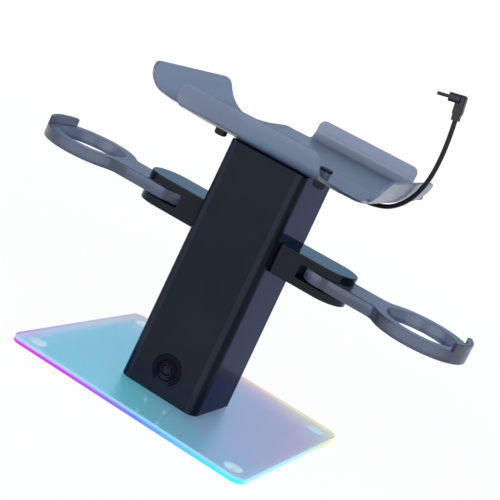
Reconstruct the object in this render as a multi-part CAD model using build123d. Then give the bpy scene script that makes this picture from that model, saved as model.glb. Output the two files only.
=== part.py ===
# Charging dock for a head-worn display and its two hand controllers.
# Units are millimetres. X is right, Y is back, Z is up.
# Modelled about the base plate's centre, then moved so that the origin is on the
# table under the middle of the whole dock.
from build123d import *
import math
import os

os.makedirs("parts", exist_ok=True)

# Base plate and its feet
plate_w = 200.0
plate_d = 190.0
plate_t = 4.8
plate_corner_r = 8.5
plate_edge = 0.5
foot_d = 14.5
foot_t = 2.0
foot_x = 86.0
foot_y = 79.0
foot_edge = 0.5

# Column
post_half_w = 33.2
post_front_y = -45.9
post_back_y = 15.0
post_top_z = 196.2
post_draft = 0.48
post_corner_r = 8.5
post_wall = 2.4
post_floor = 3.0
cover_t = 2.8
cover_gap = 0.3
seam = 0.3

# Brackets and arms
arm_y = -15.4
arm_mid_z = 135.1
pivot_x = 69.4
fork_r = 18.2
fork_h = 22.4
slot_h = 10.4
slot_root_x = 51.7
arm_t = 9.0
arm_half_w = 17.3
ring_x = 144.0
ring_r = 36.2
ring_bore_r = 26.8
ring_seat_r = 24.3
ring_neck_r = 10.0
lip_h = 6.0
lip_t = 3.2
lip_half_angle = 33.0
pin_d = 6.0
pin_fit = 0.05
pin_blind = 2.6
washer_t = 0.5
washer_d = 16.0

# Headset cradle
floor_gap = 0.3
floor_z = post_top_z + floor_gap
sheet_t = 2.3
wing_fold_x = 61.1
wing_r = 30.5
wing_angle = 72.0
wing_flare = 2.0
flare_y = 40.0
wing_front_y = -71.4
wing_back_y = 49.2
rim_h = 27.1
rim_z = floor_z + rim_h
tongue_y = -35.0
tongue_slope = 9.74
tongue_half_w = 56.0
tongue_fold_y = -86.5
tongue_r = 18.5
tongue_angle = 86.0
back_half_w = 47.0
back_y = 157.0
back_r = 10.0
back_top_h = 19.3
back_top_z = floor_z + back_top_h
rear_half_w = 66.5
rear_y = 144.0
lip_corner_r = 9.0
back_corner_r = 6.0
pad_x = 41.3
pad_y = -40.0
pad_d = 9.6
pad_head_t = 2.3
pad_nub_t = 2.9
pad_nub_d = 9.2
pad_stem_d = 5.0
pad_boss_d = 8.4
pad_boss_top = 9.6
pad_head_z = floor_z + pad_boss_top

# Cable with its plug
cable_d = 3.4
cable_route = [
    (29.5, 22.5, 191.2),
    (67.0, 12.0, 190.9),
    (92.4, 3.5, 206.9),
    (101.1, 0.0, 241.8),
    (96.0, 0.0, 273.0),
]
boot_w = 7.4
boot_l = 12.0
plug_d = 6.8
plug_len = 18.0
plug_body_w = 8.4
plug_foot_d = 5.6
plug_foot_w = 7.4
plug_foot_l = 4.6
plug_arm = 4.6
plug_head_h = 6.4
shell_t = 2.4
shell_w = 8.3
shell_len = 8.8

# Screws
base_screw_d = 4.0
base_screw_head = 7.6
small_screw_d = 3.0
small_screw_head = 5.6
hole_fit = 0.3

plate_top = foot_t + plate_t
post_bottom = plate_top
post_h = post_top_z - post_bottom
post_mid_y = (post_front_y + post_back_y) / 2
post_depth = post_back_y - post_front_y
shrink = math.tan(math.radians(post_draft))


def half_w_at(z):
    return post_half_w - (z - post_bottom) * shrink


def back_at(z):
    return post_back_y - (z - post_bottom) * shrink


def front_at(z):
    return post_front_y + (z - post_bottom) * shrink


def screw(d, head_d, head_h, length, recess_d):
    """Pan or flat head screw, head top at z = 0, shank down."""
    head = Pos(0, 0, -head_h / 2) * Cylinder(head_d / 2, head_h)
    head = fillet(head.edges().sort_by(Axis.Z)[-1], head_h * 0.35)
    shank = Pos(0, 0, -head_h - length / 2) * Cylinder(d / 2, length)
    hexagon = extrude(Pos(0, 0, -head_h * 0.6) * RegularPolygon(recess_d / 2, 6), head_h)
    return head + shank - hexagon


def flat_screw(d, head_d, length, recess_d):
    """Countersunk screw, head face at z = 0, shank down."""
    cone_h = (head_d - d) / 2
    cone = Pos(0, 0, -cone_h / 2) * Cone(d / 2, head_d / 2, cone_h)
    shank = Pos(0, 0, -cone_h - length / 2) * Cylinder(d / 2, length)
    hexagon = extrude(Pos(0, 0, -cone_h * 0.7) * RegularPolygon(recess_d / 2, 6), cone_h)
    return cone + shank - hexagon


# Base plate, with four countersunk holes under the column
base_sk = RectangleRounded(plate_w, plate_d, plate_corner_r)
base_plate = Pos(0, 0, foot_t) * extrude(base_sk, plate_t)
base_plate = chamfer(base_plate.faces().sort_by(Axis.Z)[-1].edges(), plate_edge)
base_plate = chamfer(base_plate.faces().sort_by(Axis.Z)[0].edges(), plate_edge)
base_holes = [(sx * 20.0, post_mid_y + sy * 12.0) for sx in (-1, 1) for sy in (-1, 1)]
base_cone_h = (base_screw_head - base_screw_d) / 2 + hole_fit
for hx, hy in base_holes:
    bore = Pos(hx, hy, foot_t + plate_t / 2) * Cylinder(base_screw_d / 2 + hole_fit, plate_t + 2)
    base_plate -= bore
    sink_r = base_screw_head / 2 + hole_fit
    sink = Cone(sink_r, base_screw_d / 2 + hole_fit, base_cone_h)
    base_plate -= Pos(hx, hy, foot_t + base_cone_h / 2 - 0.01) * sink

# Feet
feet = []
for sx in (-1, 1):
    for sy in (-1, 1):
        foot = Pos(sx * foot_x, sy * foot_y, foot_t / 2) * Cylinder(foot_d / 2, foot_t)
        feet.append(fillet(foot.edges().sort_by(Axis.Z)[0], foot_edge))
foot_pads = Compound(children=feet)

# Column outer form, drafted, split into a front shell and a rear cover
post_sk = Pos(0, post_mid_y) * Rectangle(2 * post_half_w, post_depth)
post_sk = fillet(post_sk.vertices().sort_by(Axis.Y)[:2], post_corner_r)
post_sk = fillet(post_sk.vertices().sort_by(Axis.Y)[-2:], 1.0)
post_form = extrude(Pos(0, 0, post_bottom) * post_sk, post_h, taper=post_draft)
cover_y = post_back_y - cover_t - post_h * shrink
front_half = Pos(0, cover_y - 100 - cover_gap, post_bottom + post_h / 2) * Box(200, 200, 400)
back_half = Pos(0, cover_y + 100, post_bottom + post_h / 2) * Box(200, 200, 400)

inner_w = post_half_w - post_wall
inner_front = post_front_y + post_wall
inner_sk = Pos(0, (inner_front + cover_y + 20) / 2) * Rectangle(2 * inner_w, cover_y + 20 - inner_front)
inner_sk = fillet(inner_sk.vertices().sort_by(Axis.Y)[:2], post_corner_r - post_wall)
cavity_h = post_h - 2 * post_floor
cavity = extrude(Pos(0, 0, post_bottom + post_floor) * inner_sk, cavity_h, taper=post_draft)
post_front_shell = (post_form & front_half) - cavity

# Bosses for the cover screws run down the shell's rear corners
cover_screw_z = (24.0, 176.0)
boss_r = 4.2
for bz in cover_screw_z:
    for sx in (-1, 1):
        bx = sx * (half_w_at(bz) - post_wall - boss_r + 0.6)
        boss_l = 16.0
        boss = Pos(bx, cover_y - cover_gap - boss_l / 2, bz) * Rot(90, 0, 0) * Cylinder(boss_r, boss_l)
        web_w = half_w_at(bz) - post_wall / 2 - abs(bx)
        web_x = sx * (abs(bx) + web_w / 2)
        web = Pos(web_x, cover_y - cover_gap - boss_l / 2, bz) * Box(web_w, boss_l, 3.0)
        post_front_shell += boss + web
        hole = Pos(bx, cover_y - 7.0, bz) * Rot(90, 0, 0) * Cylinder(small_screw_d / 2 + hole_fit, 16.0)
        post_front_shell -= hole

post_rear_cover = post_form & back_half
for bz in cover_screw_z:
    for sx in (-1, 1):
        bx = sx * (half_w_at(bz) - post_wall - boss_r + 0.6)
        hole = Pos(bx, cover_y, bz) * Rot(90, 0, 0) * Cylinder(small_screw_d / 2 + hole_fit, 20.0)
        post_rear_cover -= hole
        pocket_y = back_at(bz) - 1.9
        sink = Pos(bx, pocket_y + 5.0, bz) * Rot(90, 0, 0) * Cylinder(small_screw_head / 2 + hole_fit, 10.0)
        post_rear_cover -= sink

cover_screw_set = []
for bz in cover_screw_z:
    for sx in (-1, 1):
        bx = sx * (half_w_at(bz) - post_wall - boss_r + 0.6)
        one = screw(small_screw_d, small_screw_head, 1.6, 9.0, 2.4)
        cover_screw_set.append(Pos(bx, back_at(bz) - 0.2, bz) * Rot(-90, 0, 0) * one)
cover_screws = Compound(children=cover_screw_set)

# Holes through the shell for the base, cradle and bracket screws
for hx, hy in base_holes:
    hole = Pos(hx, hy, post_bottom + 1.0) * Cylinder(base_screw_d / 2 + hole_fit, 8.0)
    post_front_shell -= hole
cradle_holes = [(sx * 18.0, post_mid_y + sy * 15.0) for sx in (-1, 1) for sy in (-1, 1)]
for hx, hy in cradle_holes:
    boss = Pos(hx, hy, post_top_z - post_floor - 5.0) * Cylinder(4.0, 11.0)
    post_front_shell += boss & Pos(0, 0, post_top_z - 15.2) * Box(200, 200, 30)
    hole = Pos(hx, hy, post_top_z) * Cylinder(small_screw_d / 2 + hole_fit, 24.0)
    post_front_shell -= hole
bracket_holes = [(arm_y + sy * 9.0) for sy in (-1, 1)]
for hy in bracket_holes:
    hole = Pos(0, hy, arm_mid_z) * Rot(0, 90, 0) * Cylinder(small_screw_d / 2 + hole_fit, 90.0)
    post_front_shell -= hole

# Touch key: a thin ring and a power mark set into the front face
key_z = 27.0
key_r = 8.5
key_y = front_at(key_z)
ring_mark = Circle(key_r) - Circle(key_r - 0.8)
arc_mark = Circle(4.2) - Circle(3.4) - Pos(0, 4) * Rectangle(3.0, 5.0)
bar_mark = Pos(0, 3.4) * Rectangle(0.8, 4.2)
mark_sk = ring_mark + arc_mark + bar_mark
mark_tool = Pos(0, key_y + 0.6, key_z) * Rot(90, 0, 0) * extrude(mark_sk, 3.0)
touch_mark = mark_tool & Pos(0, key_y + 0.12, key_z) * Box(30, 0.7, 30)
groove = Pos(0, key_y + 0.75, key_z) * Rot(90, 0, 0) * extrude(offset(mark_sk, 0.06), 3.0)
post_front_shell -= groove

# Ballast block in the column's foot, bolted down through the base plate
ballast_w = 52.0
ballast_d = 34.0
ballast_h = 9.6
ballast_z = post_bottom + post_floor
ballast = Pos(0, post_mid_y, ballast_z + ballast_h / 2 + seam / 2) * Box(ballast_w, ballast_d, ballast_h - seam)
ballast = chamfer(ballast.edges().filter_by(Axis.Z), 2.0)
for hx, hy in base_holes:
    ballast -= Pos(hx, hy, ballast_z + ballast_h / 2) * Cylinder(base_screw_d / 2 + hole_fit, 30)

base_screw_len = 15.0
base_screw_set = []
for hx, hy in base_holes:
    one = flat_screw(base_screw_d, base_screw_head, base_screw_len, 3.0)
    base_screw_set.append(Pos(hx, hy, foot_t + 0.1) * Rot(180, 0, 0) * one)
base_screws = Compound(children=base_screw_set)

# Light board under the touch key and the main circuit board
led_board = Pos(0, post_front_y + 5.4, post_bottom + post_floor + 5.4) * Box(46.0, 1.2, 9.0)
led_set = []
for i in range(6):
    lx = -18.0 + 7.2 * i
    led = Pos(lx, post_front_y + 6.6, post_bottom + post_floor + 3.6) * Box(3.0, 1.2, 3.0)
    led_set.append(led)
led_board += led_set
board_z = 62.0
board_y = -6.0
circuit_board = Pos(0, board_y, board_z) * Box(44.0, 1.6, 62.0)
for cx, cz, cw, ch, ct in ((-10, 76, 12, 12, 3), (9, 80, 9, 14, 6), (8, 58, 14, 8, 2), (-11, 54, 8, 8, 4)):
    circuit_board += Pos(cx, board_y + 0.7 + ct / 2, cz) * Box(cw, ct, ch)
post_rib = Pos(0, board_y - 3.6, board_z) * Box(6.0, 4.9, 40.0)
post_rib += Pos(0, (inner_front + board_y - 3.6) / 2 - 0.2, board_z) * Box(3.0, board_y - 3.0 - inner_front, 40.0)
post_front_shell += post_rib

# Power inlet low on the rear cover
inlet_z = 14.5
inlet_w = 9.0
inlet_h = 3.4
inlet_y = back_at(inlet_z)
slot_sk = RectangleRounded(inlet_w + 0.6, inlet_h + 0.6, 1.9)
inlet_cut = Pos(0, inlet_y + 3.0, inlet_z) * Rot(90, 0, 0) * extrude(slot_sk, 12.0)
post_rear_cover -= inlet_cut
inlet_sk = RectangleRounded(inlet_w, inlet_h, 1.65) - RectangleRounded(inlet_w - 0.8, inlet_h - 0.8, 1.25)
power_inlet = Pos(0, inlet_y - 0.3, inlet_z) * Rot(90, 0, 0) * extrude(inlet_sk, 7.3)
back_sk = RectangleRounded(inlet_w, inlet_h, 1.65)
power_inlet += Pos(0, inlet_y - 6.6, inlet_z) * Rot(90, 0, 0) * extrude(back_sk, 1.0)
power_inlet += Pos(0, inlet_y - 4.2, inlet_z) * Box(6.4, 5.4, 0.8)
inlet_board = Pos(0, cover_y - 3.9, inlet_z - inlet_h / 2 - 0.75) * Box(14.0, 7.0, 1.5)
power_inlet += inlet_board
post_front_shell -= Pos(0, cover_y - 4.0, inlet_z + 4.0) * Box(16.0, 8.4, 14.0)

# Brackets: a fork on each side of the column
fork_x0 = half_w_at(arm_mid_z + fork_h / 2)
fork_foot_r = 1.4
fork_sk = Pos((fork_x0 + pivot_x) / 2, arm_y) * Rectangle(pivot_x - fork_x0, 2 * fork_r)
fork_sk += Pos(pivot_x, arm_y) * Circle(fork_r)
fork_sk = fillet(fork_sk.vertices().sort_by(Axis.X)[:2], fork_foot_r)
fork = Pos(0, 0, arm_mid_z - fork_h / 2) * extrude(fork_sk, fork_h)
fork = fillet(fork.faces().sort_by(Axis.Z)[-1].edges(), 0.6)
fork = fillet(fork.faces().sort_by(Axis.Z)[0].edges(), 0.6)
slot_w = pivot_x + fork_r + 5 - slot_root_x
fork -= Pos(slot_root_x + slot_w / 2, arm_y, arm_mid_z) * Box(slot_w, 4 * fork_r, slot_h)
pin_len = fork_h - pin_blind
pin_z0 = arm_mid_z - fork_h / 2
pin_bore = Pos(pivot_x, arm_y, pin_z0 + pin_len / 2) * Cylinder(pin_d / 2 + 0.02, pin_len)
fork -= pin_bore
post_solid = extrude(Pos(0, 0, post_bottom) * post_sk, post_h, taper=post_draft)
bracket_right = fork - post_solid
for hy in bracket_holes:
    hole = Pos(38.0, hy, arm_mid_z) * Rot(0, 90, 0) * Cylinder(small_screw_d / 2 + hole_fit, 24.0)
    bracket_right -= hole
bracket_left = mirror(bracket_right, Plane.YZ)

bracket_screw_set = []
for hy in bracket_holes:
    one = screw(small_screw_d, small_screw_head, 2.0, 11.0, 2.4)
    inner_x = half_w_at(arm_mid_z) - post_wall
    bracket_screw_set.append(Pos(inner_x - 2.1, hy, arm_mid_z) * Rot(0, -90, 0) * one)
right_screws = Compound(children=bracket_screw_set)
bracket_screws = Compound(children=bracket_screw_set + [mirror(s, Plane.YZ) for s in bracket_screw_set])

# Hinge pins, pressed into the fork from below, free in the arm
pin_play = 0.2
hinge_pin = Pos(pivot_x, arm_y, pin_z0 + (pin_len - pin_play) / 2) * Cylinder(pin_d / 2, pin_len - pin_play)
hinge_pin = chamfer(hinge_pin.edges().sort_by(Axis.Z)[-1], 0.5)
hinge_pin_right = hinge_pin
hinge_pin_left = mirror(hinge_pin, Plane.YZ)

# Arms: tab, bar and ring in one moulding
arm_z0 = arm_mid_z - arm_t / 2
bar_len = ring_x - pivot_x
arm_sk = Pos(pivot_x, arm_y) * Circle(arm_half_w)
arm_sk += Pos(pivot_x + bar_len / 2, arm_y) * Rectangle(bar_len, 2 * arm_half_w)
arm_sk += Pos(ring_x, arm_y) * Circle(ring_r)
neck_dx = math.sqrt(ring_r ** 2 - arm_half_w ** 2)
neck = arm_sk.vertices().filter_by(lambda v: abs(v.X - (ring_x - neck_dx)) < 0.5)
arm_sk = fillet(neck, ring_neck_r)
arm = Pos(0, 0, arm_z0) * extrude(arm_sk, arm_t)
arm = fillet(arm.faces().sort_by(Axis.Z)[-1].edges(), 1.0)
arm = fillet(arm.faces().sort_by(Axis.Z)[0].edges(), 1.0)
bore_step = (ring_bore_r - ring_seat_r) / arm_t
bore_tool = Cone(ring_seat_r - bore_step, ring_bore_r + bore_step, arm_t + 2)
arm -= Pos(ring_x, arm_y, arm_mid_z) * bore_tool
ring_centre = Vector(ring_x, arm_y, arm_mid_z)
bore_edges = [
    e for e in arm.edges().filter_by(GeomType.CIRCLE)
    if min(abs(e.radius - ring_bore_r), abs(e.radius - ring_seat_r)) < 0.05
    and (e.arc_center - ring_centre).length < arm_t
]
arm = fillet(bore_edges, 1.0)
lip_sk = Circle(ring_r) - Circle(ring_r - lip_t)
wedge_r = ring_r + 10
wx = wedge_r * math.cos(math.radians(lip_half_angle))
wy = wedge_r * math.sin(math.radians(lip_half_angle))
lip_sk = lip_sk & make_face(Polyline((0, 0), (wx, -wy), (wx + 20, 0), (wx, wy), (0, 0)))
lip_z0 = arm_mid_z + arm_t / 2 - 2.0
lip = Pos(ring_x, arm_y, lip_z0) * extrude(lip_sk, lip_h + 2.0)
lip = fillet(lip.faces().sort_by(Axis.Z)[-1].edges(), 1.1)
arm += lip
arm -= Pos(pivot_x, arm_y, arm_mid_z) * Cylinder(pin_d / 2 + pin_fit, arm_t + 4)
controller_arm_right = arm
controller_arm_left = mirror(arm, Plane.YZ)

# Friction washers above and below each tab
gap_h = (slot_h - arm_t) / 2
washer_sk = Pos(pivot_x, arm_y) * (Circle(washer_d / 2) - Circle(pin_d / 2 + 0.2))
washer_low = Pos(0, 0, arm_mid_z - slot_h / 2 + (gap_h - washer_t) / 2) * extrude(washer_sk, washer_t)
washer_top = Pos(0, 0, arm_mid_z + arm_t / 2 + (gap_h - washer_t) / 2) * extrude(washer_sk, washer_t)
washers_right = Compound(children=[washer_low, washer_top])
washers_left = Compound(children=[mirror(washer_low, Plane.YZ), mirror(washer_top, Plane.YZ)])


def band(points, arcs):
    """Closed face between an outer run and its inner offset."""
    return make_face(Curve() + points + arcs)


# Cradle tray: flat floor with a curved wing each side
a = math.radians(wing_angle)
ri = wing_r - sheet_t
cz = floor_z + wing_r
ox, oz = wing_fold_x + wing_r * math.sin(a), cz - wing_r * math.cos(a)
ix, iz = wing_fold_x + ri * math.sin(a), cz - ri * math.cos(a)
rise = (rim_z - oz) / math.sin(a)
tx, tz = ox + rise * math.cos(a), rim_z
rise_i = (rim_z - iz) / math.sin(a)
ux, uz = ix + rise_i * math.cos(a), rim_z
mid = a / 2
floor_x0 = -12.0
wing_edges = [
    Line((floor_x0, floor_z), (wing_fold_x, floor_z)),
    ThreePointArc(
        (wing_fold_x, floor_z),
        (wing_fold_x + wing_r * math.sin(mid), cz - wing_r * math.cos(mid)),
        (ox, oz),
    ),
    Line((ox, oz), (tx, tz)),
    Line((tx, tz), (ux, uz)),
    Line((ux, uz), (ix, iz)),
    ThreePointArc(
        (ix, iz),
        (wing_fold_x + ri * math.sin(mid), cz - ri * math.cos(mid)),
        (wing_fold_x, floor_z + sheet_t),
    ),
    Line((wing_fold_x, floor_z + sheet_t), (floor_x0, floor_z + sheet_t)),
    Line((floor_x0, floor_z + sheet_t), (floor_x0, floor_z)),
]
wing_sk = make_face(wing_edges)
wing_sk = fillet(wing_sk.vertices().sort_by(Axis.Y)[-2:], 1.1)
tray_half = Plane.XZ * wing_sk
tray_half = extrude(tray_half, 20.0 - wing_front_y) + extrude(tray_half, -back_y - 15.0)
turn_at = Pos(wing_fold_x, flare_y, 0)
tray_half = turn_at * Rot(0, 0, wing_flare) * turn_at.inverse() * tray_half

# Side view of a wing: big round front end, small round back corner
def rim_at(share):
    return floor_z + share * rim_h


side_steps = [
    (38.6, -0.24), (36.6, 0.055), (24.6, 0.15), (10.8, 0.262), (3.2, 0.393), (0.3, 0.575),
    (0.0, 0.75), (2.5, 0.912), (8.2, 0.993),
]
side_pts = [(wing_front_y + dy, rim_at(k)) for dy, k in side_steps]
side_low = side_pts[0][1]
side_top = rim_at(1.25)
side_end = back_y + 20.0
side_line = [
    Spline(*side_pts),
    Line(side_pts[-1], (side_pts[-1][0], side_top)),
    Line((side_pts[-1][0], side_top), (side_end, side_top)),
    Line((side_end, side_top), (side_end, side_low)),
    Line((side_end, side_low), side_pts[0]),
]
wing_span = 2 * (wing_fold_x + wing_r)
side_front = extrude(Plane.YZ * make_face(side_line), wing_span)
back_steps = [
    (-12.8, 1.0), (-6.4, 0.96), (-2.0, 0.87), (0.2, 0.75), (1.9, 0.6), (3.9, 0.45),
    (7.0, 0.3), (11.5, 0.19), (18.0, 0.13), (28.0, 0.115),
]
back_pts = [(wing_back_y + dy, rim_at(k)) for dy, k in back_steps]
back_end = back_y + 40.0
back_high = rim_at(1.6)
back_line = [
    Spline(*back_pts),
    Line(back_pts[-1], (back_end, back_pts[-1][1])),
    Line((back_end, back_pts[-1][1]), (back_end, back_high)),
    Line((back_end, back_high), (back_pts[0][0], back_high)),
    Line((back_pts[0][0], back_high), back_pts[0]),
]
side_back = extrude(Plane.YZ * make_face(back_line), wing_span)
tray_half = (tray_half & side_front) - side_back

# Plan outline of the tray
side_gap = wing_fold_x - tongue_half_w
front_steps = [
    (0.9, -3.4), (1.8, -7.4), (2.5, -15.0), (3.2, -25.0), (4.3, -34.0), (5.8, -40.2), (8.0, -43.6),
]
front_run = [(tongue_half_w, tongue_y)]
front_run += [(tongue_half_w + k * side_gap, tongue_y + dy) for k, dy in front_steps]
rear_steps = [(29.5, 3.5), (21.5, 8.5), (15.5, 14.0), (10.5, 20.5), (6.5, 28.0), (2.5, 39.0), (0.0, 52.0)]
back_run = [(rear_half_w + dx, wing_back_y + dy) for dx, dy in rear_steps]
rear_c = 14.0
plan_x = wing_fold_x + 2 * wing_r
plan = make_face([
    Line((0.0, tongue_y), front_run[0]),
    Spline(*front_run),
    Line(front_run[-1], (plan_x, front_run[-1][1])),
    Line((plan_x, front_run[-1][1]), (plan_x, back_run[0][1])),
    Line((plan_x, back_run[0][1]), back_run[0]),
    Spline(*back_run),
    Line(back_run[-1], (rear_half_w, rear_y - rear_c)),
    ThreePointArc(
        (rear_half_w, rear_y - rear_c),
        (rear_half_w - rear_c * 0.293, rear_y - rear_c * 0.293),
        (rear_half_w - rear_c, rear_y),
    ),
    Line((rear_half_w - rear_c, rear_y), (0.0, rear_y)),
    Line((0.0, rear_y), (0.0, tongue_y)),
])
tray_half = tray_half & extrude(Pos(0, 0, floor_z - 10.0) * plan, rim_h + 30.0)
tray = tray_half + mirror(tray_half, Plane.YZ)


def lip_profile(y0, z0, slope, y1, r, end_deg, top_z, sign):
    """Side view of a lip: sloped run, bend, upright. sign gives its way along Y."""
    s = math.radians(slope)
    e = math.radians(end_deg)
    z1 = z0 + abs(y1 - y0) * math.tan(s)
    cy = y1 - sign * r * math.sin(s)
    czz = z1 + r * math.cos(s)

    def on(rad, ang):
        return (cy + sign * rad * math.sin(ang), czz - rad * math.cos(ang))

    rin = r - sheet_t
    m = (s + e) / 2
    o_end = on(r, e)
    i_end = on(rin, e)
    o_top = (o_end[0] + sign * (top_z - o_end[1]) / math.tan(e), top_z)
    i_top = (i_end[0] + sign * (top_z - i_end[1]) / math.tan(e), top_z)
    start_in = (y0 - sign * sheet_t * math.tan(s) * 0.5, z0 + sheet_t)
    run = [
        Line((y0, z0), (y1, z1)),
        ThreePointArc((y1, z1), on(r, m), o_end),
        Line(o_end, o_top),
        Line(o_top, i_top),
        Line(i_top, i_end),
        ThreePointArc(i_end, on(rin, m), on(rin, s)),
        Line(on(rin, s), start_in),
        Line(start_in, (y0, z0)),
    ]
    face = make_face(run)
    return fillet(face.vertices().sort_by(Axis.Y)[-2:], 1.1)


# Front lip, rising from a gently sloped tongue
front_face = lip_profile(tongue_y, floor_z, tongue_slope, tongue_fold_y, tongue_r, tongue_angle, rim_z, -1)
front_lip = extrude(Plane.YZ * front_face, tongue_half_w, both=True)
lip_mid_z = (floor_z + rim_z) / 2 - 5.0
front_sk = Pos(0, lip_mid_z) * Rectangle(2 * tongue_half_w, 2 * (rim_z - lip_mid_z))
front_sk = fillet(front_sk.vertices().sort_by(Axis.Y)[-2:], lip_corner_r)
front_lip = front_lip & extrude(Plane.XZ * front_sk, 200.0, both=True)

# Back lip, upright at the end of the rear floor
y_fold = back_y - back_r
back_face = lip_profile(y_fold - 12.0, floor_z, 0.001, y_fold, back_r, 88.0, back_top_z, 1)
back_lip = extrude(Plane.YZ * back_face, back_half_w, both=True)
back_mid_z = floor_z + 3.5
back_sk = Pos(0, back_mid_z) * Rectangle(2 * back_half_w, 2 * (back_top_z - back_mid_z))
back_sk = fillet(back_sk.vertices().sort_by(Axis.Y)[-2:], back_corner_r)
back_lip = back_lip & extrude(Plane.XZ * back_sk, 200.0, both=True)
headset_cradle = tray + front_lip + back_lip
boss_z0 = floor_z + sheet_t - 0.3
for sx in (-1, 1):
    boss_h = pad_head_z - boss_z0
    headset_cradle += Pos(sx * pad_x, pad_y, boss_z0 + boss_h / 2) * Cylinder(pad_boss_d / 2, boss_h)
    headset_cradle -= Pos(sx * pad_x, pad_y, floor_z) * Cylinder(pad_stem_d / 2 + 0.05, 40.0)
for hx, hy in cradle_holes:
    headset_cradle -= Pos(hx, hy, floor_z) * Cylinder(small_screw_d / 2 + hole_fit, 20.0)
    cone_h = (small_screw_head - small_screw_d) / 2 + hole_fit
    sink = Cone(small_screw_d / 2 + hole_fit, small_screw_head / 2 + hole_fit, cone_h)
    headset_cradle -= Pos(hx, hy, floor_z + sheet_t - cone_h / 2 + 0.01) * sink

cradle_screw_set = []
for hx, hy in cradle_holes:
    one = flat_screw(small_screw_d, small_screw_head, 9.0, 2.2)
    cradle_screw_set.append(Pos(hx, hy, floor_z + sheet_t - 0.1) * one)
cradle_screws = Compound(children=cradle_screw_set)

# Rubber rests: nub below the floor, stem, flat head on top of the boss
rest_set = []
for sx in (-1, 1):
    nub_z0 = floor_z - pad_nub_t
    nub = Pos(0, 0, (nub_z0 + boss_z0) / 2) * Cylinder(pad_nub_d / 2, boss_z0 - nub_z0)
    nub = fillet(nub.edges().sort_by(Axis.Z)[0], 1.6)
    nub -= Pos(-sx * pad_x, -pad_y, 0) * headset_cradle
    stem_h = pad_head_z - nub_z0 - 1.0
    stem = Pos(0, 0, pad_head_z - stem_h / 2) * Cylinder(pad_stem_d / 2, stem_h)
    head = Pos(0, 0, pad_head_z + pad_head_t / 2) * Cylinder(pad_d / 2, pad_head_t)
    head = fillet(head.edges().sort_by(Axis.Z)[-1], 1.0)
    rest_set.append(Pos(sx * pad_x, pad_y, 0) * (nub + stem + head))
rubber_rests = Compound(children=rest_set)

# Right-angled cable boot on the rear cover, near the top
r0 = cable_route[0]
r1 = cable_route[1]
start_dir = (Vector(*r1) - Vector(*r0)).normalized()
boot_z = r0[2]
elbow = Vector(*r0) - start_dir * boot_l
boot_plane = Plane(origin=elbow, z_dir=start_dir)
boot = extrude(boot_plane * Circle(boot_w / 2 - 0.6), boot_l)
boot = fillet(boot.edges().sort_by(Axis.X)[-1], 1.0)
face_y = back_at(elbow.Z)
foot_y0 = face_y - cover_t
stub_l = elbow.Y - foot_y0
stub_r = boot_w / 2 - 1.4
stub = Pos(elbow.X, foot_y0 + stub_l / 2, elbow.Z) * Rot(90, 0, 0) * Cylinder(stub_r, stub_l)
knee = Pos(elbow.X, elbow.Y, elbow.Z) * Sphere(boot_w / 2 - 0.6)
flange = Pos(elbow.X, face_y + 0.68, elbow.Z) * Rot(90, 0, 0) * Cylinder(boot_w / 2 + 0.8, 1.2)
cable_boot = boot + stub + knee + flange
boot_hole = Pos(elbow.X, face_y, elbow.Z) * Rot(90, 0, 0) * Cylinder(stub_r + 0.05, 20.0)
post_rear_cover -= boot_hole

# Cable
pts = [Vector(*p) for p in cable_route]
radii = []
for i in range(1, len(pts) - 1):
    u = (pts[i] - pts[i - 1])
    v = (pts[i + 1] - pts[i])
    turn = math.radians(u.get_angle(v))
    radii.append(0.45 * min(u.length, v.length) / math.tan(turn / 2))
print("cable radii", [round(r, 2) for r in radii], "least allowed", 5 * cable_d)
print("cable runs", [round((b - c).length, 2) for b, c in zip(pts[1:], pts[:-1])])
cable_path = FilletPolyline(*pts, radius=radii)
cable_face = Plane(origin=pts[0], z_dir=start_dir) * Circle(cable_d / 2)
headset_cable = sweep(cable_face, path=cable_path)
print("cable length", round(cable_path.length, 1))

# Plug: straight body on the cable's end, turned at the top
end_dir = (pts[-1] - pts[-2]).normalized()
plug_plane = Plane(origin=pts[-1], x_dir=(-1, 0, 0), z_dir=end_dir)
plug_r = 0.32 * plug_d
plug_foot_r = 0.32 * plug_foot_d
collar = extrude(plug_plane * RectangleRounded(plug_foot_d, plug_foot_w, plug_foot_r), plug_foot_l)
body_sk = plug_plane.offset(plug_foot_l - 0.2) * RectangleRounded(plug_d, plug_body_w, plug_r)
body = extrude(body_sk, plug_len - plug_foot_l + 0.2)
body = fillet(body.edges().group_by(Axis.Z)[-1], 1.8)
nose_at = pts[-1] + end_dir * (plug_len - plug_head_h / 2)
nose_plane = Plane(origin=nose_at, x_dir=(0, 1, 0), z_dir=plug_plane.x_dir)
nose = extrude(nose_plane * RectangleRounded(shell_w + 3.0, plug_head_h, 2.2), plug_d / 2 + plug_arm)
plug_body = collar + body + nose
shell_plane = nose_plane.offset(plug_d / 2 + plug_arm)
shell_sk = RectangleRounded(shell_w, shell_t, shell_t / 2 - 0.02)
shell_in = RectangleRounded(shell_w - 0.7, shell_t - 0.7, (shell_t - 0.7) / 2 - 0.02)
plug_shell = extrude(shell_plane * (shell_sk - shell_in), shell_len)
plug_shell += extrude(shell_plane * shell_in, 1.5)
plug_shell += extrude(shell_plane * Rectangle(shell_w - 2.4, 0.7), shell_len - 1.2)

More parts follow.
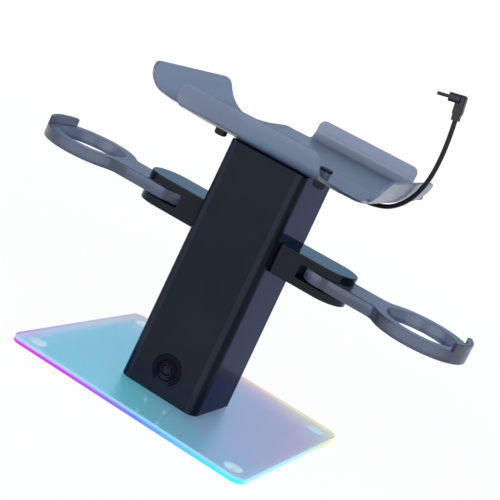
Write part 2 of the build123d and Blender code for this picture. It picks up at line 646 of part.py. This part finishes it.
nodes = {
    "base_plate": base_plate,
    "foot_pads": foot_pads,
    "base_screws": base_screws,
    "ballast_block": ballast,
    "post_front_shell": post_front_shell,
    "post_rear_cover": post_rear_cover,
    "cover_screws": cover_screws,
    "touch_mark": touch_mark,
    "light_board": led_board,
    "circuit_board": circuit_board,
    "power_inlet": power_inlet,
    "bracket_left": bracket_left,
    "bracket_right": bracket_right,
    "bracket_screws": bracket_screws,
    "hinge_pin_left": hinge_pin_left,
    "hinge_pin_right": hinge_pin_right,
    "washers_left": washers_left,
    "washers_right": washers_right,
    "controller_arm_left": controller_arm_left,
    "controller_arm_right": controller_arm_right,
    "headset_cradle": headset_cradle,
    "cradle_screws": cradle_screws,
    "rubber_rests": rubber_rests,
    "cable_boot": cable_boot,
    "headset_cable": headset_cable,
    "plug_body": plug_body,
    "plug_shell": plug_shell,
}
origin_y = 27.75
for name, shape in nodes.items():
    moved = [Pos(0, -origin_y, 0) * one for one in shape.solids()]
    shape = moved[0] if len(moved) == 1 else Compound(children=moved)
    export_step(shape, "parts/" + name + ".step")
    box = shape.bounding_box()
    size = [round(v, 1) for v in (box.min.X, box.max.X, box.min.Y, box.max.Y, box.min.Z, box.max.Z)]
    print(name, len(shape.solids()), size)
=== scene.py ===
import math

import bmesh
import bpy
from mathutils import Matrix, Vector


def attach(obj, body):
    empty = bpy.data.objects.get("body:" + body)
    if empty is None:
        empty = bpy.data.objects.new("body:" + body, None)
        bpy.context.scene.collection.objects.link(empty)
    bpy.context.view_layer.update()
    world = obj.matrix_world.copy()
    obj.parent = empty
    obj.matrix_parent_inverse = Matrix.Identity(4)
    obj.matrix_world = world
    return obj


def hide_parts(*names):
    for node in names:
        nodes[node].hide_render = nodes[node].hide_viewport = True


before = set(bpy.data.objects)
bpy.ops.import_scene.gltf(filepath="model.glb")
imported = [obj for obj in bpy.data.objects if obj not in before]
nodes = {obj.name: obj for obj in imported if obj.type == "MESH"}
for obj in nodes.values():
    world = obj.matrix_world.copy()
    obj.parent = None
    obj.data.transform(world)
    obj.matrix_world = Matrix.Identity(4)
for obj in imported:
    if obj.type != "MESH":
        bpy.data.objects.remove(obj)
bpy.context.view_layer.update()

MM = 0.001
SHIFT = -27.75  # y of the base plate's middle, in mm
WHITE = (1.0, 1.0, 1.0)

# Base plate, in metres
PLATE_HALF_W = 0.1
PLATE_HALF_D = 0.095
PLATE_CORNER_R = 0.0085
PLATE_LOW = 0.002
PLATE_TOP = 0.0068
SKIN = 0.0002
FOOT_X, FOOT_Y = 0.086, 0.079

# Column, in mm
POST_FRONT_Y = -45.9
POST_BOTTOM = 6.8
POST_DRAFT_DEG = 0.48

# Light in the base plate
RIM_EMISSION_TOP = 0.34
GLINT_EMISSION = 0.4
SHEET_CLEAR = 0.94
FLANK_CLOUDED = 0.80
ACRYLIC_IOR = 1.49


def at(x, y, z):
    """A place given in mm from the middle of the base plate's footprint."""
    return Vector((x * MM, (y + SHIFT) * MM, z * MM))


def show(name, data):
    """A new object in the scene."""
    o = bpy.data.objects.new(name, data)
    bpy.context.scene.collection.objects.link(o)
    return o


# Camera: fitted to the photograph, rolled with it
CAM_PLACE = (326.9, -890.4, 327.4)
az, el, roll = math.radians(20.08), math.radians(12.157), math.radians(25.309)
back = Vector((math.sin(az) * math.cos(el), -math.cos(az) * math.cos(el), math.sin(el)))
right = Vector((math.cos(az), math.sin(az), 0))
up = back.cross(right)
cam_x = right * math.cos(roll) + up * math.sin(roll)
cam_y = up * math.cos(roll) - right * math.sin(roll)
cam_data = bpy.data.cameras.new("camera")
cam_data.sensor_width = 36
cam_data.lens = 95.6
cam_data.clip_start = 0.05
cam_data.clip_end = 200
cam = show("camera", cam_data)
turned = Matrix((cam_x, cam_y, back)).transposed().to_4x4()
cam.matrix_world = Matrix.Translation(at(*CAM_PLACE)) @ turned
bpy.context.scene.camera = cam
bpy.context.scene.view_settings.view_transform = "Standard"


class Tree:
    """The emptied node tree of a material or a world, with short calls that add nodes."""

    def __init__(self, owner):
        owner.use_nodes = True
        self.t = owner.node_tree
        self.t.nodes.clear()
        self.coord = None

    def new(self, kind, **values):
        """A new node, with its inputs set by name."""
        n = self.t.nodes.new("ShaderNode" + kind)
        for key, v in values.items():
            n.inputs[key.replace("_", " ")].default_value = v
        return n

    def link(self, a, b):
        self.t.links.new(a, b)

    def feed(self, v, socket):
        """Set a socket to a number or a colour, or link an output to it."""
        if isinstance(v, tuple):
            socket.default_value = v + (1.0,)
        elif isinstance(v, (int, float)):
            socket.default_value = v
        else:
            self.link(v, socket)

    def pos(self):
        if self.coord is None:
            self.coord = self.new("TexCoord")
        return self.coord.outputs["Object"]

    def xyz(self, src=None):
        n = self.new("SeparateXYZ")
        self.link(src or self.pos(), n.inputs[0])
        return n.outputs

    def math(self, op, a, b=None, clamp=False):
        n = self.new("Math")
        n.operation = op
        n.use_clamp = clamp
        self.feed(a, n.inputs[0])
        if b is not None:
            self.feed(b, n.inputs[1])
        return n.outputs[0]

    def add(self, a, b):
        return self.math("ADD", a, b)

    def less(self, a, b):
        return self.math("SUBTRACT", a, b)

    def times(self, a, b):
        return self.math("MULTIPLY", a, b)

    def most(self, a, b):
        return self.math("MAXIMUM", a, b)

    def length(self, a, b):
        return self.math("SQRT", self.add(self.times(a, a), self.times(b, b)))

    def noise(self, scale, detail=3.0, rough=0.5, src=None):
        n = self.new("TexNoise", Scale=scale, Detail=detail, Roughness=rough)
        self.link(src or self.pos(), n.inputs["Vector"])
        return n.outputs[0]

    def ramp(self, fac, stops):
        """Colours along fac; a stop is its place and a colour, or a number for a grey."""
        n = self.new("ValToRGB")
        e = n.color_ramp.elements
        while len(e) < len(stops):
            e.new(0.5)
        for i, (place, c) in enumerate(stops):
            e[i].position = place
            e[i].color = (c if isinstance(c, tuple) else (c, c, c)) + (1.0,)
        self.link(fac, n.inputs[0])
        return n.outputs[0]

    def span(self, v, a, b, c=0.0, d=1.0, smooth=False):
        """Carry the range a to b over to c to d, and hold it at both ends."""
        n = self.new("MapRange", From_Min=a, From_Max=b, To_Min=c, To_Max=d)
        n.interpolation_type = "SMOOTHSTEP" if smooth else "LINEAR"
        self.link(v, n.inputs["Value"])
        return n.outputs[0]

    def mix(self, fac, a, b, blend="MIX"):
        n = self.new("Mix")
        n.data_type = "RGBA"
        n.blend_type = blend
        factor, colour_a, colour_b, colour_out = n.inputs[0], n.inputs[6], n.inputs[7], n.outputs[2]
        for v, socket in ((fac, factor), (a, colour_a), (b, colour_b)):
            self.feed(v, socket)
        return colour_out

    def surface(self, fac, a, b, output):
        """Mix two shaders and end the tree with them."""
        n = self.new("MixShader")
        for v, socket in zip((fac, a, b), n.inputs):
            self.link(v, socket)
        self.link(n.outputs[0], self.new(output).inputs["Surface"])

    def seen(self):
        """1 for camera, glossy and transmission rays, 0 for the rest."""
        rays = self.new("LightPath").outputs
        straight = self.most(rays["Is Camera Ray"], rays["Is Glossy Ray"])
        return self.most(straight, rays["Is Transmission Ray"])


class Mat(Tree):
    """A material with one Principled shader."""

    def __init__(self, name):
        self.m = bpy.data.materials.new(name)
        super().__init__(self.m)
        self.b = self.new("BsdfPrincipled")
        self.link(self.b.outputs[0], self.new("OutputMaterial").inputs["Surface"])

    def set(self, **values):
        for key, v in values.items():
            self.b.inputs[key.replace("_", " ")].default_value = v

    def to(self, value, socket):
        self.link(value, self.b.inputs[socket])

    def normal(self):
        return self.new("NewGeometry").outputs["Normal"]

    def bump(self, height, strength, distance):
        n = self.new("Bump", Strength=strength, Distance=distance)
        self.link(height, n.inputs["Height"])
        self.to(n.outputs[0], "Normal")


def srgb(r, g, b):
    """A linear colour from display values of 0 to 255."""
    out = []
    for v in (r, g, b):
        v /= 255.0
        out.append(v / 12.92 if v <= 0.04045 else ((v + 0.055) / 1.055) ** 2.4)
    return tuple(out)


def put(m, *names):
    """Give CAD nodes a material."""
    for name in names:
        o = nodes[name]
        o.data.materials.clear()
        o.data.materials.append(m.m)


def spot_mask(m, x, y, spots, r0, r1):
    """1 within r0 of a spot, falling to 0 at r1."""
    last = None
    for sx, sy in spots:
        one = m.span(m.length(m.less(x, sx), m.less(y, sy)), r0, r1, 1.0, 0.0, True)
        last = one if last is None else m.most(last, one)
    return last


# Base plate: clear sheet, tinted by the lights in its rim
plate = Mat("lit_sheet")
px, py, pz = plate.xyz()
yy = plate.add(py, -SHIFT * MM)
abs_x = plate.math("ABSOLUTE", px)
abs_y = plate.math("ABSOLUTE", yy)

# Distance from the sheet's outline, negative inside it
ax = plate.less(abs_x, PLATE_HALF_W - PLATE_CORNER_R)
ay = plate.less(abs_y, PLATE_HALF_D - PLATE_CORNER_R)
outer = plate.length(plate.most(ax, 0.0), plate.most(ay, 0.0))
inner = plate.math("MINIMUM", plate.most(ax, ay), 0.0)
dist = plate.less(plate.add(outer, inner), PLATE_CORNER_R)

# Turn around the sheet's middle: 0 and 1 at the left, 0.25 in front, 0.5 at the right
turn = plate.add(plate.math("DIVIDE", plate.math("ARCTAN2", yy, px), 2 * math.pi), 0.5)
rim_hue = plate.ramp(turn, [
    (0.00, srgb(180, 176, 246)),
    (0.07, srgb(206, 160, 240)),
    (0.115, srgb(216, 24, 220)),
    (0.17, srgb(208, 36, 226)),
    (0.225, srgb(150, 84, 240)),
    (0.27, srgb(100, 116, 242)),
    (0.32, srgb(80, 176, 250)),
    (0.372, srgb(36, 232, 255)),
    (0.43, srgb(60, 240, 240)),
    (0.52, srgb(110, 240, 196)),
    (0.59, srgb(146, 240, 70)),
    (0.63, srgb(222, 238, 110)),
    (0.70, srgb(246, 210, 150)),
    (0.78, srgb(240, 184, 150)),
    (0.87, srgb(236, 172, 184)),
    (0.93, srgb(214, 180, 226)),
])
rim_power = plate.ramp(turn, [
    (0.0, 0.55), (0.09, 0.6), (0.12, 0.85), (0.30, 0.85),
    (0.372, 0.9), (0.60, 0.85), (0.66, 0.95), (0.9, 0.6),
])
rim_pale = plate.ramp(turn, [
    (0.0, 0.62), (0.1, 0.45), (0.15, 0.12), (0.56, 0.12), (0.64, 0.62), (0.9, 0.62),
])

# The tint runs slantwise over the sheet, from cyan at its front left to mauve
drift = plate.noise(9.0, 2.0)
lean = plate.add(plate.times(px, 3.6), plate.times(yy, 2.3))
lean = plate.math("ADD", lean, plate.span(drift, 0.3, 0.7, 0.42, 0.56), clamp=True)
tint = plate.ramp(lean, [
    (0.00, (0.022, 0.57, 0.87)),
    (0.35, (0.030, 0.50, 0.75)),
    (0.62, (0.085, 0.24, 0.60)),
    (0.82, (0.21, 0.17, 0.55)),
    (1.00, (0.38, 0.24, 0.46)),
])
lifted = plate.new("Gamma", Gamma=0.5)
plate.link(tint, lifted.inputs["Color"])
lifted = lifted.outputs[0]

# Where a point lies: on the flank, low on it, on the underside, or near the rim
side = plate.span(dist, -0.0009, -0.0004, 0.0, 1.0, True)
low = plate.span(pz, 0.0040, 0.0062, 1.0, 0.0, True)
under = plate.span(pz, PLATE_LOW + SKIN, PLATE_LOW + 3 * SKIN, 1.0, 0.0)
near = plate.span(dist, -0.010, -0.0006, 0.0, 1.0, True)

# Underside: the tint, paler by the rim, over the bumpers and at four small painted reflections,
# which are painted white
feet = spot_mask(plate, abs_x, abs_y, [(FOOT_X, FOOT_Y)], 0.0068, 0.0074)
glints = spot_mask(plate, px, yy, [
    (0.0008, -0.0617), (0.0089, -0.0878), (0.0184, -0.0636), (0.0262, -0.0881),
], 0.0002, 0.0019)
body = plate.mix(plate.times(near, rim_pale), tint, plate.mix(0.6, rim_hue, WHITE))
body = plate.mix(feet, body, WHITE)
body = plate.mix(plate.times(glints, 0.7), body, WHITE)

# Flank: the rim's own hue low down, the lifted tint above it
dimmed = plate.mix(1.0, rim_hue, (0.35, 0.35, 0.35), "MULTIPLY")
flank = plate.mix(low, plate.mix(0.2, lifted, WHITE), dimmed)
plate.to(plate.mix(side, plate.mix(under, WHITE, body), flank), "Base Color")
band = plate.times(side, low)
crest = plate.less(side, band)
plate.to(plate.mix(band, plate.mix(0.35, lifted, rim_hue), rim_hue), "Emission Color")
glow = plate.add(plate.times(band, rim_power), plate.times(crest, RIM_EMISSION_TOP))
# The rim's lights glow along the flank; the four painted reflections get a painted glow
plate.to(plate.add(glow, plate.times(glints, GLINT_EMISSION)), "Emission Strength")
polish = plate.span(pz, PLATE_LOW + SKIN, PLATE_TOP - SKIN, 0.12, 0.31)
plate.to(plate.add(polish, plate.span(drift, 0.3, 0.7, -0.02, 0.02)), "Roughness")
plate.to(plate.less(SHEET_CLEAR, plate.times(side, FLANK_CLOUDED)), "Transmission Weight")
plate.set(IOR=ACRYLIC_IOR)
plate.bump(plate.noise(60.0, 2.0), 0.03, 0.0004)
put(plate, "base_plate")

# Clear bumpers, with a painted glow: a faint emission where they touch the lit sheet, standing in
# for the light it passes into them
bumper = Mat("clear_bumper")
cell = bumper.noise(260.0, 3.0)
bumper.to(bumper.ramp(cell, [(0.2, (0.66, 0.80, 0.86)), (0.8, (0.84, 0.92, 0.95))]),
          "Base Color")
bumper.to(bumper.ramp(cell, [(0.35, (0.44, 0.58, 0.62)), (0.65, (0.66, 0.78, 0.80))]),
          "Emission Color")
bumper.set(Roughness=0.35, IOR=1.42, Transmission_Weight=0.2, Emission_Strength=0.36)
bumper.bump(bumper.noise(900.0, 2.0), 0.1, 0.0002)
put(bumper, "foot_pads")


def gloss_black(name, base, tip, edge, metallic, rough, painted_corner_light=False):
    """Moulded gloss black; painted_corner_light adds a painted highlight and painted shade where
    the front rolls over into the sides.
    """
    m = Mat(name)
    hue = m.ramp(m.noise(24.0, 3.0), [(0.25, base), (0.8, tip)])
    if painted_corner_light:
        # Painted highlight and painted shade: the colour is lifted where the front begins to round
        # and darkened further round the corner
        roll_over = m.math("ABSOLUTE", m.xyz(m.normal())[0])
        hue = m.mix(1.0, hue, m.ramp(roll_over, [
            (0.02, 0.69), (0.12, 1.0), (0.45, 0.95), (0.60, 0.42), (0.86, 0.42), (0.98, 0.69),
        ]), "MULTIPLY")
    m.to(hue, "Base Color")
    fine = m.noise(1400.0, 2.0)
    m.to(m.span(m.noise(90.0, 4.0), 0.3, 0.7, rough * 0.85, rough * 1.15), "Roughness")
    m.set(Metallic=metallic, Specular_Tint=edge + (1.0,), Specular_IOR_Level=0.0)
    m.bump(m.add(m.times(fine, 0.15), m.noise(45.0, 1.0)), 0.02, 0.0003)
    return m


post = gloss_black("post_gloss", (0.025, 0.031, 0.043), (0.032, 0.039, 0.054),
                   edge=(0.68, 0.70, 0.90), metallic=0.6, rough=0.13, painted_corner_light=True)
put(post, "post_front_shell", "post_rear_cover")
fork = gloss_black("bracket_gloss", (0.018, 0.021, 0.026), (0.023, 0.027, 0.033),
                   edge=(0.86, 0.98, 0.98), metallic=0.85, rough=0.10)
put(fork, "bracket_left", "bracket_right")


def tinted(name, base, tip, clear, rough, level, grain, painted_top_light=None):
    """Tinted translucent plastic with a satin surface; painted_top_light is two heights and a paler
    colour, painted above them as painted light.
    """
    m = Mat(name)
    hue = m.ramp(m.noise(26.0, 3.0), [(0.3, base), (0.7, tip)])
    if painted_top_light:
        hue = m.mix(m.span(m.xyz()[2], painted_top_light[0], painted_top_light[1], 0.0, 1.0, True), hue, painted_top_light[2])
    m.to(hue, "Base Color")
    m.to(m.span(m.noise(60.0, 2.0), 0.3, 0.7, rough * 0.94, rough * 1.06), "Roughness")
    m.set(Transmission_Weight=clear, IOR=ACRYLIC_IOR, Specular_IOR_Level=level)
    m.bump(m.noise(grain, 1.0), 0.05, 0.0002)
    return m


arm = tinted("arm_frosted", (0.126, 0.154, 0.229), (0.144, 0.177, 0.262),
             clear=0.78, rough=0.30, level=0.40, grain=45.0)
put(arm, "controller_arm_left", "controller_arm_right")
# Painted light: above its floor the cradle is painted paler and bluer, standing in for the blue
# light its wings catch from above
tray = tinted("cradle_frosted", (0.182, 0.218, 0.300), (0.202, 0.242, 0.332),
              clear=0.62, rough=0.31, level=0.60, grain=40.0,
              painted_top_light=(0.2005, 0.2095, (0.320, 0.392, 0.530)))
put(tray, "headset_cradle")


def dark(name, base, tip, rough, level, grain, depth):
    """Matt dark rubber, plastic or print, with a fine grain."""
    m = Mat(name)
    m.to(m.ramp(m.noise(60.0, 4.0), [(0.25, base), (0.8, tip)]), "Base Color")
    m.to(m.span(m.noise(300.0, 3.0), 0.3, 0.7, rough - 0.06, rough + 0.06), "Roughness")
    m.set(Specular_IOR_Level=level)
    m.bump(m.noise(grain, 3.0), 0.25, depth)
    return m


rubber = dark("soft_rubber", (0.006, 0.006, 0.010), (0.011, 0.011, 0.016),
              rough=0.50, level=0.25, grain=2600.0, depth=0.00008)
put(rubber, "rubber_rests", "cable_boot")
jacket = dark("cable_jacket", (0.003, 0.005, 0.010), (0.006, 0.009, 0.018),
              rough=0.38, level=0.2, grain=3200.0, depth=0.00004)
moulded = dark("plug_moulding", (0.006, 0.007, 0.010), (0.011, 0.012, 0.017),
               rough=0.38, level=0.35, grain=3600.0, depth=0.00005)
put(moulded, "plug_body")
slip = dark("washer_plastic", (0.02, 0.02, 0.022), (0.03, 0.03, 0.033),
            rough=0.5, level=0.3, grain=2000.0, depth=0.00004)
put(slip, "washers_left", "washers_right")
ink = dark("touch_print", (0.0012, 0.0012, 0.0024), (0.0024, 0.0024, 0.004),
           rough=0.6, level=0.0, grain=2400.0, depth=0.00003)
put(ink, "touch_mark")


def metal(name, base, tip, rough, stretch):
    """Bare metal with streaks drawn out along the axis whose scale is small."""
    m = Mat(name)
    n = m.new("Mapping", Scale=stretch)
    m.link(m.pos(), n.inputs[0])
    streak = m.noise(800.0, 4.0, 0.6, n.outputs[0])
    m.to(m.ramp(streak, [(0.25, base), (0.8, tip)]), "Base Color")
    m.to(m.span(streak, 0.3, 0.7, rough * 0.8, rough * 1.25), "Roughness")
    m.set(Metallic=1.0)
    m.bump(streak, 0.15, 0.00004)
    return m


screw = metal("dark_steel", (0.10, 0.10, 0.11), (0.17, 0.17, 0.18), 0.34, (1, 1, 0.1))
put(screw, "base_screws", "cover_screws", "bracket_screws", "cradle_screws")
ground = metal("ground_steel", (0.46, 0.47, 0.49), (0.60, 0.61, 0.63), 0.22, (1, 1, 0.08))
put(ground, "ballast_block")
pin = metal("pin_steel", (0.05, 0.052, 0.057), (0.08, 0.083, 0.09), 0.3, (1, 1, 0.08))
put(pin, "hinge_pin_left", "hinge_pin_right")
drawn = metal("drawn_shell", (0.022, 0.023, 0.026), (0.040, 0.041, 0.046), 0.26, (0.1, 1, 1))
put(drawn, "plug_shell")
nickel = metal("nickel_shell", (0.42, 0.43, 0.45), (0.55, 0.56, 0.58), 0.24, (1, 0.1, 1))
put(nickel, "power_inlet")

# Circuit boards: green lacquer over a mesh of tracks
board = Mat("lacquered_board")
tracks = board.new("TexBrick", Color1=(0.010, 0.060, 0.034, 1), Color2=(0.013, 0.075, 0.042, 1),
                   Mortar=(0.030, 0.120, 0.070, 1), Scale=160.0, Mortar_Size=0.03)
board.link(board.pos(), tracks.inputs["Vector"])
board.to(tracks.outputs["Color"], "Base Color")
board.set(Roughness=0.38)
put(board, "circuit_board", "light_board")


def piece(name, bm, m, body):
    """A new smooth-shaded piece that rides on a body."""
    mesh = bpy.data.meshes.new(name)
    bmesh.ops.recalc_face_normals(bm, faces=bm.faces)
    bm.to_mesh(mesh)
    bm.free()
    mesh.materials.append(m.m)
    for f in mesh.polygons:
        f.use_smooth = True
    o = show(name, mesh)
    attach(o, body)


# Touch key: plain arcs around the inlaid ring, printed on the drafted front face
KEY_Z = 27.0
ARC_HALF_W = 0.45
ARC_STEPS = 64
PRINT_PROUD = 0.04
front_slope = math.tan(math.radians(POST_DRAFT_DEG))
bm = bmesh.new()
for rad, half_open in ((11.3, 30.0), (9.7, 34.0), (6.9, 38.0), (5.6, 40.0)):
    ring_in, ring_out = [], []
    for i in range(ARC_STEPS + 1):
        t = math.radians(-90 + half_open + (360 - 2 * half_open) * i / ARC_STEPS)
        for r, run in ((rad - ARC_HALF_W, ring_in), (rad + ARC_HALF_W, ring_out)):
            z = KEY_Z + r * math.sin(t)
            face_y = POST_FRONT_Y + (z - POST_BOTTOM) * front_slope
            run.append(bm.verts.new(at(r * math.cos(t), face_y - PRINT_PROUD, z)))
    for i in range(ARC_STEPS):
        bm.faces.new((ring_in[i], ring_in[i + 1], ring_out[i + 1], ring_out[i]))
piece("touch_arcs", bm, ink, "dock")

# Cable: one smooth curve from the boot to the plug
route = [
    at(29.5, 22.5, 191.2),
    at(67.0, 12.0, 190.9),
    at(92.4, 3.5, 206.9),
    at(101.1, 0.0, 241.8),
    at(96.0, 0.0, 273.0),
]
line = bpy.data.curves.new("cable", "CURVE")
line.dimensions = "3D"
spline = line.splines.new("NURBS")
spline.points.add(len(route) - 1)
for p, v in zip(spline.points, route):
    p.co = (v.x, v.y, v.z, 1.0)
spline.order_u = 3
spline.use_endpoint_u = True
spline.resolution_u = 32
line.bevel_depth = 0.0017
line.bevel_resolution = 8
line.use_fill_caps = True
cable = show("cable", line)
line.materials.append(jacket.m)
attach(cable, "dock")
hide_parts("headset_cable")

# Strain relief: a tapered ribbed sleeve on the cable's first stretch, as steps of place and radius
RIBS = 5
RIB_FIRST = 0.9
RIB_PITCH = 2.2
RIB_R = 2.55
RIB_TAPER = 0.11
SLEEVE_SIDES = 32
along = (route[1] - route[0]).normalized()
across = along.cross(Vector((0, 0, 1))).normalized()
third = along.cross(across)
steps = [(-1.5, 1.8), (-1.5, 2.6), (0.6, 2.6)]
for k in range(RIBS):
    x0 = RIB_FIRST + RIB_PITCH * k
    r = RIB_R - RIB_TAPER * k
    steps += [(x0, r), (x0 + 0.25, r), (x0 + 0.45, r - 0.34), (x0 + 1.05, r - 0.36),
              (x0 + 1.25, r - 0.06)]
steps += [(12.0, 2.0), (12.6, 1.95), (12.8, 1.72)]
bm = bmesh.new()
rows = []
for x, r in steps:
    row = []
    for i in range(SLEEVE_SIDES):
        t = 2 * math.pi * i / SLEEVE_SIDES
        spoke = across * math.cos(t) + third * math.sin(t)
        row.append(bm.verts.new(route[0] + along * (x * MM) + spoke * (r * MM)))
    rows.append(row)
for a0, a1 in zip(rows[:-1], rows[1:]):
    for i in range(SLEEVE_SIDES):
        j = (i + 1) % SLEEVE_SIDES
        bm.faces.new((a0[i], a0[j], a1[j], a1[i]))
bm.faces.new(rows[0])
bm.faces.new(rows[-1])
piece("strain_relief", bm, rubber, "dock")

# Floor: white where it is seen, a little dimmer by the dock, with the dock's shadow kept
FLOOR_HALF = 60.0
floor_mesh = bpy.data.meshes.new("floor")
corners = [(-FLOOR_HALF, -FLOOR_HALF, 0), (FLOOR_HALF, -FLOOR_HALF, 0),
           (FLOOR_HALF, FLOOR_HALF, 0), (-FLOOR_HALF, FLOOR_HALF, 0)]
floor_mesh.from_pydata(corners, [], [(0, 1, 2, 3)])
floor = show("floor", floor_mesh)
floor_look = bpy.data.materials.new("floor")
pale = Tree(floor_look)
lit = pale.new("BsdfDiffuse", Color=(0.78, 0.78, 0.80, 1))
shadowed = pale.new("BsdfDiffuse", Color=(0.13, 0.13, 0.13, 1))
away = pale.new("VectorMath")
away.operation = "LENGTH"
pale.link(pale.pos(), away.inputs[0])
shine = pale.new("Emission", Color=(1, 1, 1, 1))
pale.link(pale.span(away.outputs["Value"], 0.3, 2.0, 0.94, 1.0), shine.inputs["Strength"])
both = pale.new("AddShader")
pale.link(shine.outputs[0], both.inputs[0])
pale.link(shadowed.outputs[0], both.inputs[1])
pale.surface(pale.seen(), lit.outputs[0], both.outputs[0], "OutputMaterial")
floor_mesh.materials.append(floor_look)

# World: seen and mirrored, it is white at the horizon and blue above; its light fades upwards
world = bpy.data.worlds.new("studio")
bpy.context.scene.world = world
sky = Tree(world)
height = sky.xyz(sky.new("TexCoord").outputs["Generated"])[2]
mirrored = sky.new("Background", Strength=1.0)
sky.link(sky.ramp(height, [
    (0.045, WHITE), (0.11, (0.36, 0.52, 0.76)),
    (0.5, (0.50, 0.66, 0.90)), (0.95, (0.85, 0.92, 1.0)),
]), mirrored.inputs["Color"])
soft = sky.new("Background", Strength=0.62)
sky.link(sky.ramp(height, [(0.0, (1.0, 1.0, 1.05)), (0.8, (0.17, 0.23, 0.33))]),
         soft.inputs["Color"])
sky.surface(sky.seen(), soft.outputs[0], mirrored.outputs[0], "OutputWorld")

# Lamps
LAMP_AIM = Vector((0, 0, 0.14))


def softbox(name, where, size, watts, colour):
    """A large lamp that translucent plastic doesn't show."""
    d = bpy.data.lights.new(name, "AREA")
    d.shape = "RECTANGLE"
    d.size, d.size_y = size
    d.energy = watts
    d.color = colour
    o = show(name, d)
    o.location = where
    o.visible_transmission = False
    o.rotation_mode = "QUATERNION"
    o.rotation_quaternion = (LAMP_AIM - Vector(where)).to_track_quat("-Z", "Y")


softbox("key", (-1.2, -2.2, 0.55), (2.4, 1.6), 29.0, (1.0, 0.98, 0.97))
softbox("fill", (1.7, -1.7, 0.45), (2.2, 1.4), 26.0, (0.94, 0.96, 1.0))
